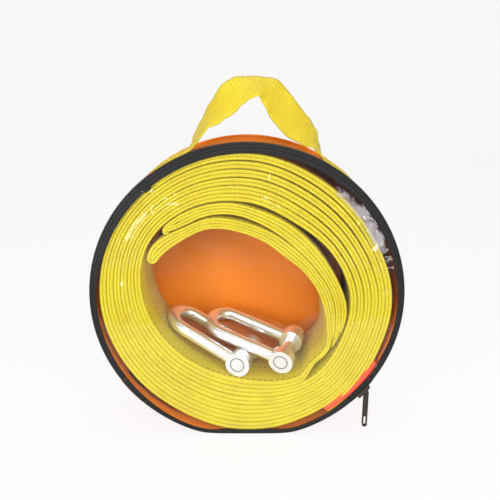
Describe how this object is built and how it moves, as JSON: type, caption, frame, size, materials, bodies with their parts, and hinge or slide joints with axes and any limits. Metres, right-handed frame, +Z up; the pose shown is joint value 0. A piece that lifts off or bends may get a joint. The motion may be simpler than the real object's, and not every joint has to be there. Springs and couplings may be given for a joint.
{
  "type": "tow strap kit in a carry bag",
  "caption": "Coiled flat tow strap with screw-pin D-shackles in a round zipped carry bag with a clear window, a webbing handle and a flat base to stand on.",
  "frame": {"origin": "middle of the flat base the bag stands on", "axes": "X to the right seen from the clear window, Y from the window to the back panel, Z up"},
  "size_m": [0.215, 0.0607, 0.2506],
  "materials": {
    "bag_fabric": "coated, satin",
    "piping": "coated, satin",
    "clear_film": "clear, glossy, slightly creased",
    "black_binding": "matte",
    "zip_tape": "satin",
    "zip_coil": "satin",
    "slider_metal": "dark, semi-gloss",
    "webbing": "woven",
    "thread": "woven",
    "strap": "woven",
    "red_sleeve": "satin",
    "zinc": "zinc plated, glossy"
  },
  "bodies": {
    "bag": {"back_panel": "bag_fabric", "gusset_upper": "bag_fabric", "gusset_base": "bag_fabric", "back_piping": "piping", "window_apron": "clear_film", "front_binding": "black_binding", "zip_coil_side": "zip_coil", "zip_tape_side": "zip_tape", "zip_garage_left": "zip_tape", "zip_garage_right": "zip_tape", "handle_foot_left": "webbing", "handle_foot_right": "webbing", "handle_stitching": "thread", "tow_strap_coil": "strap", "strap_inner_eye": "strap", "strap_eye_splice": "strap", "strap_red_sleeve": "red_sleeve", "shackle_bow_left": "zinc", "shackle_bow_right": "zinc"},
    "window_flap": {"window_film": "clear_film", "zip_tape_window": "zip_tape", "zip_coil_window": "zip_coil", "zip_end_tab": "zip_tape"},
    "zip_slider": {"slider_body": "slider_metal", "slider_bridge": "slider_metal"},
    "pull_tab": {"zip_pull": "slider_metal"},
    "carry_handle": {"handle_loop": "webbing"},
    "screw_pin_left": {"shackle_pin_left": "zinc"},
    "screw_pin_right": {"shackle_pin_right": "zinc"}
  },
  "joints": [
    {"name": "window_hinge", "type": "hinge", "parent": "bag", "child": "window_flap", "pos_m": [0, -0.03005, 0.043], "axis": [1, 0, 0], "range_deg": [0, 100]},
    {"name": "zip_run", "type": "hinge", "parent": "bag", "child": "zip_slider", "pos_m": [0, 0, 0.1032], "axis": [0, -1, 0], "range_deg": [0, 259.2]},
    {"name": "pull_pivot", "type": "hinge", "parent": "zip_slider", "child": "pull_tab", "pos_m": [0.08564, -0.02645, 0.03235], "axis": [0, -1, 0], "range_deg": [-34, 130]},
    {"name": "handle_tip", "type": "hinge", "parent": "bag", "child": "carry_handle", "pos_m": [0, 0, 0.2042], "axis": [1, 0, 0], "range_deg": [-45, 45]},
    {"name": "pin_screw_left", "type": "hinge", "parent": "bag", "child": "screw_pin_left", "pos_m": [-0.0021, -0.0078, 0.0525], "axis": [0.268, 0.9628, -0.035], "continuous": true},
    {"name": "pin_screw_right", "type": "hinge", "parent": "bag", "child": "screw_pin_right", "pos_m": [0.0293, -0.0076, 0.057], "axis": [0.3035, 0.9458, 0.1158], "continuous": true}
  ]
}
